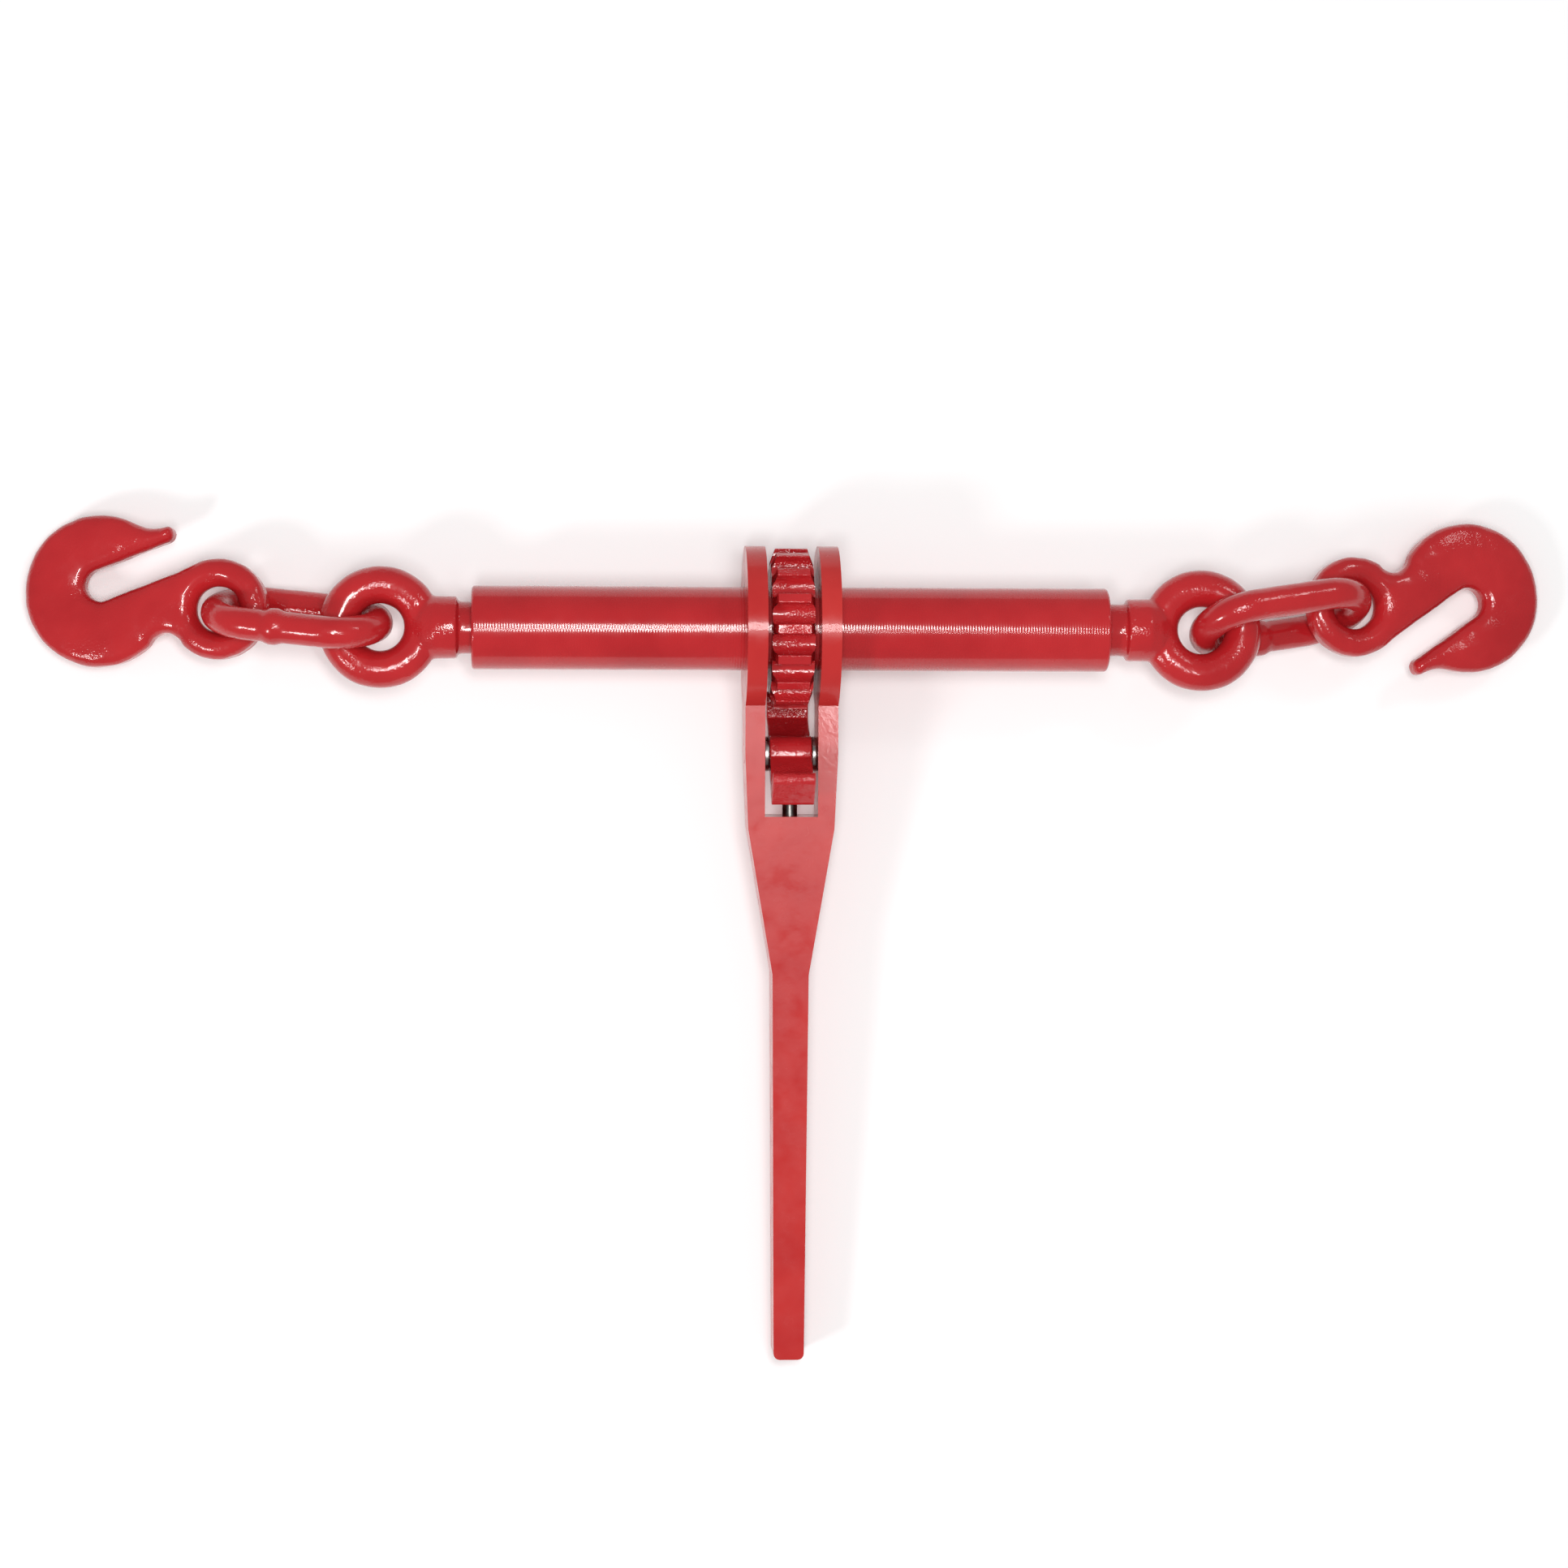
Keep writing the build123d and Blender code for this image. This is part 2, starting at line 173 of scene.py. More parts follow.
# turning marks left under the paint, across the bar
def ribFinish(finish):
    tree = finish.node_tree
    shader = tree.nodes["Principled BSDF"]
    place = tree.nodes["Texture Coordinate"]
    wave = tree.nodes.new("ShaderNodeTexWave")
    wave.wave_type = "BANDS"
    wave.bands_direction = "X"
    wave.inputs["Scale"].default_value = ribs["waveScale"] / ribs["pitch"]
    wave.inputs["Distortion"].default_value = ribs["distortion"]
    wave.inputs["Detail"].default_value = 1.0
    tree.links.new(place.outputs["Object"], wave.inputs["Vector"])
    before = shader.inputs["Normal"].links[0].from_node
    bump = addBump(tree, wave.outputs["Fac"], ribs["strength"], ribs["depth"], before)
    tree.links.new(bump.outputs["Normal"], shader.inputs["Normal"])
    tree.links.new(bump.outputs["Normal"], shader.inputs["Coat Normal"])
    return finish


deep, bright = enamel["deep"], enamel["bright"]
smoothEnamel = redEnamel("smoothEnamel", deep, bright, lumps=0.06, lumpSize=60.0, grain=0.10,
                         grainSize=700.0)
forgedEnamel = redEnamel("forgedEnamel", deep, bright, lumps=0.35, lumpSize=130.0, grain=0.25,
                         grainSize=700.0, speckle=0.35)
castEnamel = redEnamel("castEnamel", deep, bright, lumps=0.45, lumpSize=260.0, grain=0.40,
                       grainSize=800.0, speckle=0.9)
# lighter copy of the red enamel for the handle: painted reflection of the bright surroundings on its face
handlePaintedLightEnamel = redEnamel("handlePaintedLightEnamel", enamel["handlePaintedLightDeep"], enamel["handlePaintedLightBright"], lumps=0.05,
                         lumpSize=40.0, grain=0.15, grainSize=600.0, coat=enamel["handleCoat"])
barrelEnamel = ribFinish(redEnamel("barrelEnamel", deep, bright, lumps=0.05, lumpSize=60.0, grain=0.08,
                                   grainSize=700.0))


def steel(name, dark, light, roughness, grain):
    finish, tree, shader, place = newFinish(name)
    cloud = addNoise(tree, place, steelLook["cloudSize"])
    tone = addRamp(tree, cloud.outputs["Fac"], 0.35, 0.65, dark, light)
    tree.links.new(tone.outputs["Color"], shader.inputs["Base Color"])
    scratch = addNoise(tree, place, steelLook["scratchSize"], 2.0)
    shiny, dull = (roughness * share for share in steelLook["wear"])
    wear = addRamp(tree, cloud.outputs["Fac"], 0.3, 0.7, (shiny, shiny, shiny, 1), (dull, dull, dull, 1))
    tree.links.new(wear.outputs["Color"], shader.inputs["Roughness"])
    bump = addBump(tree, scratch.outputs["Fac"], grain, steelLook["scratchDepth"])
    tree.links.new(bump.outputs["Normal"], shader.inputs["Normal"])
    shader.inputs["Metallic"].default_value = 1.0
    return finish


plainSteel = steel("plainSteel", (0.30, 0.29, 0.28, 1), (0.52, 0.51, 0.50, 1), roughness=0.28, grain=0.2)
# steel darkened as painted shade: the plunger sits deep in the handle's window, where shade falls
paintedShadeSteel = steel("paintedShadeSteel", (0.09, 0.085, 0.08, 1), (0.30, 0.29, 0.27, 1), roughness=0.35, grain=0.3)
springSteel = steel("springSteel", (0.22, 0.22, 0.23, 1), (0.40, 0.40, 0.42, 1), roughness=0.25, grain=0.15)
print("finishes made")


def holdOnly(piece):
    clearSelection()
    piece.select_set(True)
    bpy.context.view_layer.objects.active = piece


def pick(piece, kind, wanted):
    holdOnly(piece)
    bpy.ops.object.mode_set(mode="EDIT")
    bpy.ops.mesh.select_mode(type=kind)
    bpy.ops.mesh.select_all(action="DESELECT")
    bpy.ops.object.mode_set(mode="OBJECT")
    mesh = piece.data
    if kind == "VERT":
        for vert in mesh.vertices:
            vert.select = wanted(vert.co)
    elif kind == "EDGE":
        for edge in mesh.edges:
            first, last = (mesh.vertices[i].co for i in edge.vertices)
            edge.select = wanted(first, last)
    else:
        for face in mesh.polygons:
            face.select = wanted(face)
    bpy.ops.object.mode_set(mode="EDIT")


def leaveEdit():
    bpy.ops.object.mode_set(mode="OBJECT")


def tidyMesh(piece, merge=0.000002):
    pick(piece, "VERT", lambda co: True)
    bpy.ops.mesh.remove_doubles(threshold=merge)
    bpy.ops.mesh.normals_make_consistent(inside=False)
    leaveEdit()


def closeEnds(piece):
    pick(piece, "EDGE", lambda first, last: False)
    bpy.ops.mesh.select_non_manifold()
    bpy.ops.mesh.edge_face_add()
    leaveEdit()


def useModifier(piece, kind, **settings):
    holdOnly(piece)
    modifier = piece.modifiers.new(kind.lower(), kind)
    for key, value in settings.items():
        setattr(modifier, key, value)
    bpy.ops.object.modifier_apply(modifier=modifier.name)


def combine(piece, other, operation):
    useModifier(piece, "BOOLEAN", object=other, operation=operation, solver="EXACT")
    bpy.data.objects.remove(other)


def joinTo(piece, *others):
    holdOnly(piece)
    for other in others:
        other.select_set(True)
    bpy.ops.object.join()


def placeBy(piece, place):
    holdOnly(piece)
    piece.matrix_world = place
    bpy.ops.object.transform_apply(location=True, rotation=True, scale=True)


def smoothShade(piece, angle=35):
    holdOnly(piece)
    bpy.ops.object.shade_smooth_by_angle(angle=radians(angle))


def hammerMarks(piece, depth, size):
    texture = bpy.data.textures.new(piece.name + "Marks", "CLOUDS")
    texture.noise_scale = size
    texture.noise_depth = 1
    useModifier(piece, "DISPLACE", texture=texture, strength=depth, mid_level=0.5, texture_coords="LOCAL")


def evenNormals(piece):
    useModifier(piece, "WEIGHTED_NORMAL", mode="FACE_AREA", weight=50, keep_sharp=True)


def finishOff(piece, body, finish, slot, *stands):
    piece.data.materials.clear()
    piece.data.materials.append(finish)
    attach(piece, body)
    if stands:
        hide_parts(*stands)
    print("made", piece.name, len(piece.data.polygons), "faces")


def addBar(name, radius, start, end, sides=64):
    clearSelection()
    bpy.ops.mesh.primitive_cylinder_add(vertices=sides, radius=radius, depth=abs(end - start),
                                        location=((start + end) / 2, 0, 0), rotation=(0, pi / 2, 0))
    piece = bpy.context.object
    piece.name = name
    bpy.ops.object.transform_apply(location=True, rotation=True, scale=True)
    return piece


def bevelRims(piece, radius, amount, segments=3):
    def onRim(first, last):
        level = abs(first.x - last.x) < 0.00001
        return level and all(abs((co.y ** 2 + co.z ** 2) ** 0.5 - radius) < 0.0002 for co in (first, last))

    pick(piece, "EDGE", onRim)
    bpy.ops.mesh.bevel(offset=amount, segments=segments, affect="EDGES")
    leaveEdit()


def addBoredBar(name, radius, bore, start, end, rim, sides=64):
    piece = addBar(name, radius, start, end, sides)
    pick(piece, "FACE", lambda face: abs(face.normal.x) > 0.9)
    bpy.ops.mesh.inset(thickness=radius - bore)
    bpy.ops.mesh.bridge_edge_loops()
    leaveEdit()
    bevelRims(piece, radius, rim)
    return piece


def addRing(name, radius, bar, around, across):
    clearSelection()
    bpy.ops.mesh.primitive_torus_add(major_radius=radius, minor_radius=bar, major_segments=around,
                                     minor_segments=across)
    piece = bpy.context.object
    piece.name = name
    return piece


def addBox(name, middle, sizes):
    clearSelection()
    bpy.ops.mesh.primitive_cube_add(size=1, location=middle)
    piece = bpy.context.object
    piece.name = name
    piece.scale = sizes
    bpy.ops.object.transform_apply(location=True, rotation=True, scale=True)
    return piece


def axesAt(origin, along, normal):
    side = normal.cross(along)
    turn = Matrix((along, side, normal)).transposed().to_4x4()
    return Matrix.Translation(origin) @ turn


def jointPlace(joint):
    return Vector(joints[joint]["pos_m"])


# the handle's own axes: X along the barrel, -Y down the handle
downHandle = Vector(joints["plunger_travel"]["axis"])
handlePlace = axesAt(gearCentre, Vector((1, 0, 0)), Vector((1, 0, 0)).cross(-downHandle))
barrelPlace = axesAt(barrelCentre, Vector((1, 0, 0)), Vector((1, 0, 0)).cross(-downHandle))


barrelSizes = {"radius": 0.0167, "wall": 0.0034, "endRound": 0.0012, "nutLength": 0.016, "nutGap": 0.00003,
               "nutRim": 0.0006, "screwHole": 0.01058}


def makeBarrel():
    b = barrelSizes
    half = (barrelHigh.x - barrelLow.x) / 2
    tube = addBoredBar("barrelTube", b["radius"], b["radius"] - b["wall"], -half, half, b["endRound"], 96)
    smoothShade(tube)
    evenNormals(tube)
    placeBy(tube, barrelPlace)
    finishOff(tube, "barrel", barrelEnamel, "red_enamel", "barrel_tube")
    for side, label in ((-1, "left"), (1, "right")):
        inner, outer = side * (half - b["nutLength"]), side * (half - b["endRound"])
        nut = addBoredBar(label + "BarrelNut", b["radius"] - b["wall"] - b["nutGap"], b["screwHole"],
                          min(inner, outer), max(inner, outer), b["nutRim"])
        smoothShade(nut)
        placeBy(nut, barrelPlace)
        finishOff(nut, "barrel", smoothEnamel, "red_enamel", label + "_barrel_nut")


gearSizes = {"teeth": 16, "tip": 0.032, "valley": 0.0043, "valleyCentre": 0.030, "width": 0.0168,
             "bore": 0.01673, "innerRing": 0.0252, "bevelWidth": 0.002, "bevelFrom": 0.0265,
             "stepsPerHalf": 10, "edge": 0.0004}


# radius and angle from a valley's middle, step by step to a tooth's middle
def toothProfile():
    g = gearSizes
    profile = []
    for step in range(7):
        turn = step * pi / 12
        across, up = g["valley"] * sin(turn), g["valleyCentre"] - g["valley"] * cos(turn)
        profile.append(((across ** 2 + up ** 2) ** 0.5, atan2(across, up)))
    corner = atan2(g["valley"], g["tip"])
    middle = pi / g["teeth"]
    for step in range(4):
        profile.append((g["tip"], corner + (middle - corner) * step / 3))
    return profile


def makeGear():
    g = gearSizes
    perTooth = 2 * g["stepsPerHalf"]
    sides = g["teeth"] * perTooth
    half = g["width"] / 2
    gear = addBar("ratchetGear", g["tip"], -half, half, sides)
    pick(gear, "FACE", lambda face: abs(face.normal.x) > 0.9)
    bpy.ops.mesh.inset(thickness=g["tip"] - g["innerRing"])
    bpy.ops.mesh.inset(thickness=g["innerRing"] - g["bore"])
    bpy.ops.mesh.bridge_edge_loops()
    leaveEdit()
    profile = toothProfile()
    stepAngle = 2 * pi / sides
    steps = {}
    for vert in gear.data.vertices:
        co = vert.co
        if (co.y ** 2 + co.z ** 2) ** 0.5 > g["tip"] - 0.0001:
            place = (round(atan2(co.z, co.y) / stepAngle) + g["stepsPerHalf"]) % perTooth
            step = place - perTooth if place > g["stepsPerHalf"] else place
            steps.setdefault(step, set()).add(vert.index)
    for step, members in steps.items():
        radius, angle = profile[abs(step)]
        turn = (angle - abs(step) * stepAngle) * (1 if step > 0 else -1)
        pick(gear, "VERT", lambda co: False)
        leaveEdit()
        for index in members:
            gear.data.vertices[index].select = True
        bpy.ops.object.mode_set(mode="EDIT")
        # the turn is entered backwards, as this operator counts it the other way
        bpy.ops.transform.rotate(value=-turn, orient_axis="X", center_override=(0, 0, 0))
        bpy.ops.transform.resize(value=(1, radius / g["tip"], radius / g["tip"]), center_override=(0, 0, 0))
        if radius > g["bevelFrom"]:
            back = g["bevelWidth"] * (radius - g["bevelFrom"]) / (g["tip"] - g["bevelFrom"])
            bpy.ops.transform.resize(value=(1 - back / half, 1, 1), center_override=(0, 0, 0))
        leaveEdit()
    tidyMesh(gear)
    cornerAngle = pi / g["teeth"] - profile[7][1]

    def onCorner(first, last):
        if abs(first.x - last.x) < half or (first.y ** 2 + first.z ** 2) ** 0.5 < g["tip"] - 0.00002:
            return False
        place = atan2(first.z, first.y) % (2 * pi / g["teeth"])
        return min(abs(place - cornerAngle), abs(place - 2 * pi / g["teeth"] + cornerAngle)) < 0.004

    pick(gear, "EDGE", onCorner)
    bpy.ops.mesh.bevel(offset=g["edge"], segments=3, affect="EDGES")
    leaveEdit()
    placeBy(gear, handlePlace)
    smoothShade(gear)
    evenNormals(gear)
    finishOff(gear, "barrel", castEnamel, "red_enamel", "ratchet_gear")


linkSizes = {"bar": 0.0063, "bend": 0.017, "centres": 0.0649, "weldFrom": 0.0045, "weldHalf": 0.0036,
             "weldSwells": ((1.0, 1.05), (0.75, 1.06), (0.45, 1.04)), "straightCuts": 29,
             "marks": 0.0003, "markSize": 0.010}


def makeLink(label, weldInFront, weldSide):
    s = linkSizes
    pivot, eye = jointPlace(label + "_link_swing"), jointPlace(label + "_hook_swing")
    along = (eye - pivot).normalized()
    normal = Vector(joints[label + "_link_swing"]["axis"]).normalized()
    link = addRing(label + "Link", s["bend"], s["bar"], 50, 28)
    pull = s["centres"] / 2 - s["bend"]
    for way in (-1, 1):
        pick(link, "VERT", lambda co: co.x * way > 0)
        bpy.ops.transform.translate(value=(way * pull, 0, 0))
        leaveEdit()
    pick(link, "EDGE", lambda first, last: abs(first.x - last.x) > pull)
    bpy.ops.mesh.subdivide(number_cuts=s["straightCuts"])
    leaveEdit()
    front = 1 if normal.cross(along).z > 0 else -1
    barSide = front if weldInFront else -front
    weldX = weldSide * s["weldFrom"]
    for width, swell in s["weldSwells"]:
        pick(link, "VERT", lambda co: co.y * barSide > 0 and abs(co.x - weldX) < s["weldHalf"] * width)
        bpy.ops.transform.resize(value=(1, swell, swell), center_override=(weldX, barSide * s["bend"], 0))
        leaveEdit()
    placeBy(link, axesAt(eye - along * s["centres"] / 2, along, normal))
    hammerMarks(link, s["marks"], s["markSize"])
    smoothShade(link, 60)
    finishOff(link, label + "_link", forgedEnamel, "red_enamel", label + "_link")


# lengths along the shank are counted from the middle of the eye
eyeSizes = {"ring": 0.0169, "bar": 0.0075, "outer": 0.0244,
            "shank": 0.0105, "root": 0.0089, "rootRim": 0.0006, "face": -0.0362, "overlap": 0.003,
            "collar": 0.0125, "collarStart": -0.0308, "collarStep": 0.0004,
            "collarEnd": -0.0213, "flare": ((-0.0170, 0.0124, 0.0100), (-0.0125, 0.0112, 0.0062)),
            "voxel": 0.0006, "soften": 7, "marks": 0.0003, "markSize": 0.009,
            "pinHole": 0.0016, "pinInset": 0.0035, "holeHalf": 0.02,
            "pitch": 0.00635, "tailPlain": 0.0067, "turnSteps": 32,
            "threadFoot": (0.10, 0.70), "threadCrest": (0.22, 0.58), "threadSink": 0.0004}


# draws the end face out along X; old and new are (x, half height, half depth)
def extrudeEnd(piece, old, new):
    pick(piece, "FACE", lambda face: face.normal.x > 0.9 and abs(face.center.x - old[0]) < 0.00001)
    bpy.ops.mesh.extrude_region_move(TRANSFORM_OT_translate={"value": (new[0] - old[0], 0, 0)})
    bpy.ops.transform.resize(value=(1, new[1] / old[1], new[2] / old[2]), center_override=(new[0], 0, 0))
    leaveEdit()


def makeEyeScrew(label, side):
    e = eyeSizes
    low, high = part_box(label + "_eye_screw")
    ringX = high.x - e["outer"] if side > 0 else low.x + e["outer"]
    tail = -(ringX - low.x) if side > 0 else -(high.x - ringX)
    shank = addBar(label + "EyeScrew", e["shank"], e["face"] - e["overlap"], e["collarStart"], 64)
    stops = [(e["collarStart"], e["shank"], e["shank"]),
             (e["collarStart"] + e["collarStep"], e["collar"], e["collar"]),
             (e["collarEnd"], e["collar"], e["collar"]), *e["flare"]]
    for old, new in zip(stops, stops[1:]):
        extrudeEnd(shank, old, new)
    joinTo(shank, addRing("eye", e["ring"], e["bar"], 72, 36))
    useModifier(shank, "REMESH", mode="VOXEL", voxel_size=e["voxel"])
    useModifier(shank, "SMOOTH", factor=0.5, iterations=e["soften"])
    hammerMarks(shank, e["marks"], e["markSize"])
    core = addBar("core", e["root"], tail, e["face"], 48)
    bevelRims(core, e["root"], e["rootRim"])
    hole = addBar("hole", e["pinHole"], -e["holeHalf"], e["holeHalf"], 24)
    placeBy(hole, Matrix.Translation((tail + e["pinInset"], 0, 0)) @ Matrix.Rotation(pi / 2, 4, "Y"))
    combine(core, hole, "DIFFERENCE")
    thread = makeThread(tail + e["tailPlain"], e["face"])
    joinTo(shank, core, thread)
    place = Matrix.Translation((ringX, barrelCentre.y, barrelCentre.z))
    if side < 0:
        place = place @ Matrix.Scale(-1, 4, (1, 0, 0))
    placeBy(shank, place)
    tidyMesh(shank)
    smoothShade(shank, 50)
    finishOff(shank, label + "_eye_screw", forgedEnamel, "red_enamel", label + "_eye_screw")


# one closed ridge wound round the shank, left-handed as made, for the right screw
def makeThread(start, end):
    e = eyeSizes
    clearSelection()
    bpy.ops.mesh.primitive_plane_add(size=0.001)
    ridge = bpy.context.object
    foot = e["root"] - e["threadSink"]
    corners = [(run, foot) for run in e["threadFoot"]]
    corners += [(run, e["shank"]) for run in e["threadCrest"]]
    for vert, (run, radius) in zip(ridge.data.vertices, corners):
        vert.co = (start + run * e["pitch"], 0, radius)
    turns = int((end - start - e["pitch"]) / e["pitch"])
    useModifier(ridge, "SCREW", axis="X", angle=-2 * pi, screw_offset=e["pitch"], iterations=turns,
                steps=e["turnSteps"], render_steps=e["turnSteps"])
    closeEnds(ridge)
    return ridge


smallSizes = {"pinRadius": 0.004, "pinGap": 0.00008, "washerRadius": 0.007, "washerRim": 0.0003,
              "stopPin": 0.00157, "rim": 0.0004,
              "plunger": 0.003, "plungerHalf": 0.0125, "plungerDome": 0.0029}


def makeSmallParts():
    s = smallSizes
    pawlAt = jointPlace("pawl_flip")
    low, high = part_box("pawl_pin")
    pin = addBar("pawlPin", s["pinRadius"], low.x, high.x, 48)
    bevelRims(pin, s["pinRadius"], s["rim"])
    smoothShade(pin)
    placeBy(pin, Matrix.Translation((0, pawlAt.y, pawlAt.z)))
    finishOff(pin, "handle", smoothEnamel, "red_enamel", "pawl_pin")
    for label in ("left", "right"):
        low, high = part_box(label + "_pawl_washer")
        washer = addBoredBar(label + "PawlWasher", s["washerRadius"], s["pinRadius"] + s["pinGap"],
                             low.x, high.x, s["washerRim"], 48)
        smoothShade(washer)
        placeBy(washer, Matrix.Translation((0, pawlAt.y, pawlAt.z)))
        finishOff(washer, "handle", plainSteel, "plain_steel", label + "_pawl_washer")
        low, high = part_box(label + "_stop_pin")
        middle = (low + high) / 2
        half = (high.z - low.z) / 2
        stop = addBar(label + "StopPin", s["stopPin"], -half, half, 32)
        bevelRims(stop, s["stopPin"], s["rim"])
        smoothShade(stop)
        placeBy(stop, Matrix.Translation(middle) @ Matrix.Rotation(pi / 2, 4, "Y"))
        finishOff(stop, label + "_eye_screw", plainSteel, "plain_steel", label + "_stop_pin")
    low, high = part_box("plunger")
    rod = addBar("plungerRod", s["plunger"], -s["plungerHalf"], s["plungerHalf"], 40)
    bevelRims(rod, s["plunger"], s["plungerDome"], 7)
    smoothShade(rod)
    middle = (low + high) / 2
    placeBy(rod, axesAt(middle, downHandle, Vector((1, 0, 0))))
    # the plunger wears the darkened steel, painted shade of the window's depth
    finishOff(rod, "plunger", paintedShadeSteel, "plain_steel", "plunger")


springSizes = {"wire": 0.00045, "wireSides": 10, "coil": 0.00247, "turns": 7, "travel": 0.004, "steps": 28}


def makeSpring():
    s = springSizes
    low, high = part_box("plunger_spring")
    middle = (low + high) / 2
    reachAlong = (high.y - low.y) / abs(downHandle.y) - 2 * s["coil"] * abs(downHandle.z)
    run = reachAlong - 2 * s["wire"]
    clearSelection()
    bpy.ops.mesh.primitive_circle_add(vertices=s["wireSides"], radius=s["wire"], location=(0, 0, s["coil"]),
                                      rotation=(pi / 2, 0, 0))
    spring = bpy.context.object
    spring.name = "plungerSpring"
    bpy.ops.object.transform_apply(location=True, rotation=True, scale=True)
    useModifier(spring, "SCREW", axis="X", angle=2 * pi, screw_offset=run / s["turns"], iterations=s["turns"],
                steps=s["steps"], render_steps=s["steps"])
    closeEnds(spring)
    placeBy(spring, Matrix.Translation((-run / 2, 0, 0)))
    tidyMesh(spring)
    smoothShade(spring, 60)
    placeBy(spring, axesAt(middle, downHandle, Vector((1, 0, 0))))
    finishOff(spring, "handle", springSteel, "spring_steel", "plunger_spring")
    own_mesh(spring)


# hooks and pawl are copies of the CAD shapes, softened as drop forging leaves them
forgedSizes = {"hook": {"voxel": 0.0007, "soften": 8, "marks": 0.0005, "markSize": 0.007,
                        "crownWidth": 0.0125, "edgeShare": 0.52},
               "pawl": {"voxel": 0.0004, "soften": 2, "marks": 0.00016, "markSize": 0.004}}


# thins the flat sides towards the outline, as a forging die does
def crownForging(piece, middle, normal, sizes):
    mesh = piece.data
    walls = [v.co - normal * (v.co - middle).dot(normal) for v in mesh.vertices
             if abs(v.normal.dot(normal)) < 0.2]
    tree = KDTree(len(walls))
    for index, co in enumerate(walls):
        tree.insert(co, index)
    tree.balance()
    for vert in mesh.vertices:
        height = (vert.co - middle).dot(normal)
        inPlane = vert.co - normal * height
        inward = min(tree.find(inPlane)[2] / sizes["crownWidth"], 1)
        swell = (1 - (1 - inward) ** 2) ** 0.5
        share = sizes["edgeShare"] + (1 - sizes["edgeShare"]) * swell
        vert.co = inPlane + normal * height * share


def softForging(name, node, body, finish, sizes):
    clearSelection()
    piece = bpy.data.objects.new(name, nodes[node].data.copy())
    bpy.context.scene.collection.objects.link(piece)
    tidyMesh(piece)
    useModifier(piece, "REMESH", mode="VOXEL", voxel_size=sizes["voxel"])
    if "crownWidth" in sizes:
        swing = joints[body + "_swing"]
        crownForging(piece, Vector(swing["pos_m"]), Vector(swing["axis"]).normalized(), sizes)
    useModifier(piece, "SMOOTH", factor=0.5, iterations=sizes["soften"])
    hammerMarks(piece, sizes["marks"], sizes["markSize"])
    smoothShade(piece, 180)
    finishOff(piece, body, finish, "red_enamel", node)


handleSizes = {"cheekRadius": 0.033, "halfWidth": 0.01845, "halfGap": 0.01055, "windowEnd": 0.0746,
               "yokeHalfDepth": 0.0131, "endHalfDepth": 0.010, "reach": 0.292, "barrelHole": 0.01678,
               "pinAt": 0.050, "pinHole": 0.00403, "boreRadius": 0.00308, "boreEnd": 0.112,
               "boreOver": 0.002, "windowOver": 0.05, "windowHeight": 0.08, "cutterHalf": 0.03,
               "stations": ((0.050, 0.01845), (0.0794, 0.01715), (0.108, 0.0123), (0.1377, 0.0072),
                            (0.292, 0.00605)), "endCorner": 0.0025, "seam": 0.00015, "edge": 0.0007}


def makeHandle():
    h = handleSizes
    first = h["stations"][0][0]
    handle = addBox("handleForging", (0, -first / 2, 0), (2 * h["halfWidth"], first, 2 * h["yokeHalfDepth"]))
    taper = (h["yokeHalfDepth"] - h["endHalfDepth"]) / h["reach"]
    pick(handle, "VERT", lambda co: co.y < -first / 2)
    share = 1 - taper * first / h["yokeHalfDepth"]
    bpy.ops.transform.resize(value=(1, 1, share), center_override=(0, -first, 0))
    leaveEdit()
    at, width = first, h["halfWidth"]
    for out, newWidth in h["stations"][1:]:
        pick(handle, "FACE", lambda face: face.normal.y < -0.9)
        bpy.ops.mesh.extrude_region_move(TRANSFORM_OT_translate={"value": (0, at - out, 0)})
        thick = (h["yokeHalfDepth"] - taper * out) / (h["yokeHalfDepth"] - taper * at)
        bpy.ops.transform.resize(value=(newWidth / width, 1, thick), center_override=(0, -out, 0))
        leaveEdit()
        at, width = out, newWidth
    tip = 0.0001 - h["reach"]
    pick(handle, "EDGE", lambda a, b: a.y < tip and b.y < tip and abs(a.z - b.z) > 0.01)
    bpy.ops.mesh.bevel(offset=h["endCorner"], segments=4, affect="EDGES")
    leaveEdit()
    combine(handle, addBar("cheeks", h["cheekRadius"], -h["halfWidth"], h["halfWidth"], 160), "UNION")
    window = addBox("window", (0, (h["windowOver"] - h["windowEnd"]) / 2, 0),
                    (2 * h["halfGap"], h["windowEnd"] + h["windowOver"], h["windowHeight"]))
    combine(handle, window, "DIFFERENCE")
    cutterHalf = h["cutterHalf"]
    combine(handle, addBar("hole", h["barrelHole"], -cutterHalf, cutterHalf, 96), "DIFFERENCE")
    pinHole = addBar("pinHole", h["pinHole"], -cutterHalf, cutterHalf, 48)
    placeBy(pinHole, Matrix.Translation((0, -h["pinAt"], 0)))
    combine(handle, pinHole, "DIFFERENCE")
    bore = addBar("bore", h["boreRadius"], -h["boreEnd"], -h["windowEnd"] + h["boreOver"], 40)
    placeBy(bore, Matrix.Rotation(pi / 2, 4, "Z"))
    combine(handle, bore, "DIFFERENCE")
    tidyMesh(handle, h["seam"])
    useModifier(handle, "BEVEL", width=h["edge"], segments=3, limit_method="ANGLE", angle_limit=radians(30))
    smoothShade(handle, 40)
    evenNormals(handle)
    placeBy(handle, handlePlace)
    finishOff(handle, "handle", handlePaintedLightEnamel, "red_enamel", "handle")


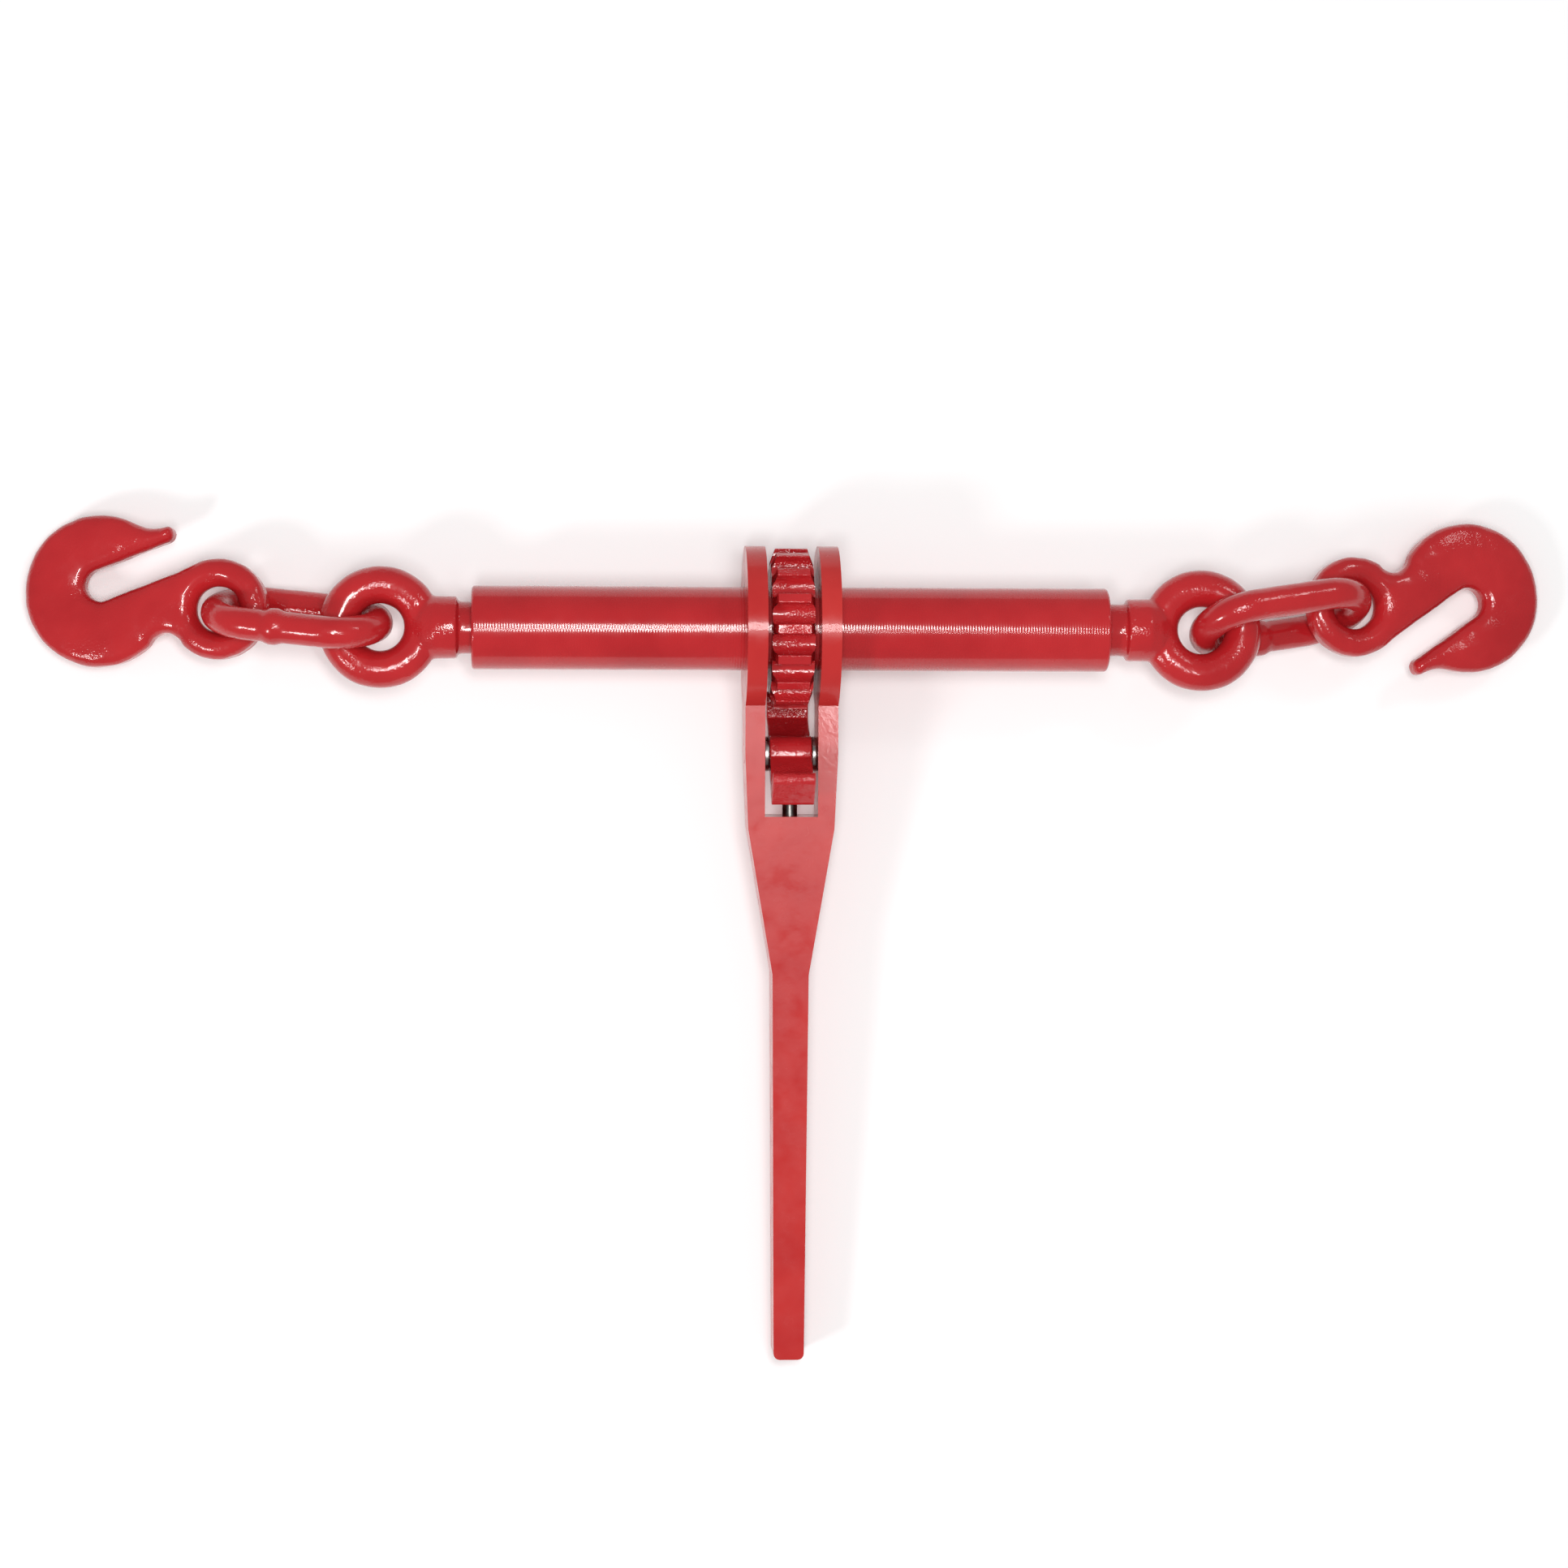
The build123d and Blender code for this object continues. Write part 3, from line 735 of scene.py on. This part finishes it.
makeBarrel()
makeGear()
makeLink("left", True, 1)
makeLink("right", False, -1)
makeEyeScrew("left", -1)
makeEyeScrew("right", 1)
makeSmallParts()
softForging("leftHook", "left_hook", "left_hook", forgedEnamel, forgedSizes["hook"])
softForging("rightHook", "right_hook", "right_hook", forgedEnamel, forgedSizes["hook"])
softForging("pawlForging", "pawl", "pawl", castEnamel, forgedSizes["pawl"])
makeHandle()
makeSpring()
nodes["gear_lock_pins"].data.materials.clear()
nodes["gear_lock_pins"].data.materials.append(plainSteel)
print("pieces made")


def makeFloor():
    clearSelection()
    level = cadBox[0].z - studio["floorGap"]
    bpy.ops.mesh.primitive_plane_add(size=2 * studio["floorMargin"], location=(0, 0, level))
    floor = bpy.context.object
    floor.name = "benchTop"
    finish, tree, shader, place = newFinish("paleBench")
    white = studio["floorWhite"]
    shader.inputs["Base Color"].default_value = (white, white, white, 1)
    shader.inputs["Roughness"].default_value = studio["floorRoughness"]
    shader.inputs["Emission Color"].default_value = (1, 1, 1, 1)
    shader.inputs["Emission Strength"].default_value = studio["floorGlow"]
    floor.data.materials.append(finish)


def makeLights():
    world = bpy.data.worlds.new("studioWhite")
    bpy.context.scene.world = world
    world.use_nodes = True
    sky = world.node_tree.nodes["Background"]
    sky.inputs["Color"].default_value = (1, 1, 1, 1)
    sky.inputs["Strength"].default_value = studio["skyStrength"]
    for name, lampSizes in studio["lamps"].items():
        light = bpy.data.lights.new(name, "AREA")
        light.shape = "RECTANGLE"
        light.size, light.size_y = lampSizes["size"]
        light.energy = lampSizes["power"]
        lamp = bpy.data.objects.new(name, light)
        bpy.context.scene.collection.objects.link(lamp)
        lamp.location = gearCentre + Vector(lampSizes["place"])
        lamp.rotation_mode = "QUATERNION"
        lamp.rotation_quaternion = (gearCentre - lamp.location).to_track_quat("-Z", "Y")


def makeCamera():
    data = bpy.data.cameras.new("viewCamera")
    camera = bpy.data.objects.new("viewCamera", data)
    bpy.context.scene.collection.objects.link(camera)
    aim = gearCentre + Vector((-view["rightOfMiddle"], -view["aboveMiddle"], 0))
    left, up = radians(view["fromLeft"]), radians(view["elevation"])
    away = Vector((-sin(left), -cos(up) * cos(left), sin(up) * cos(left)))
    camera.location = aim + away * view["distance"]
    ahead = -away.normalized()
    right = ahead.cross(Vector((0, 1, 0))).normalized()
    upward = right.cross(ahead)
    turn = Matrix((right, upward, -ahead)).transposed()
    camera.rotation_mode = "QUATERNION"
    camera.rotation_quaternion = turn.to_quaternion()
    data.sensor_width = view["sensor"]
    data.lens = view["sensor"] * view["distance"] / view["frameWidth"]
    data.clip_start = view["near"]
    data.clip_end = view["far"]
    bpy.context.scene.camera = camera


makeFloor()
makeLights()
makeCamera()
bpy.context.scene.view_settings.view_transform = "Standard"
print("stage set")
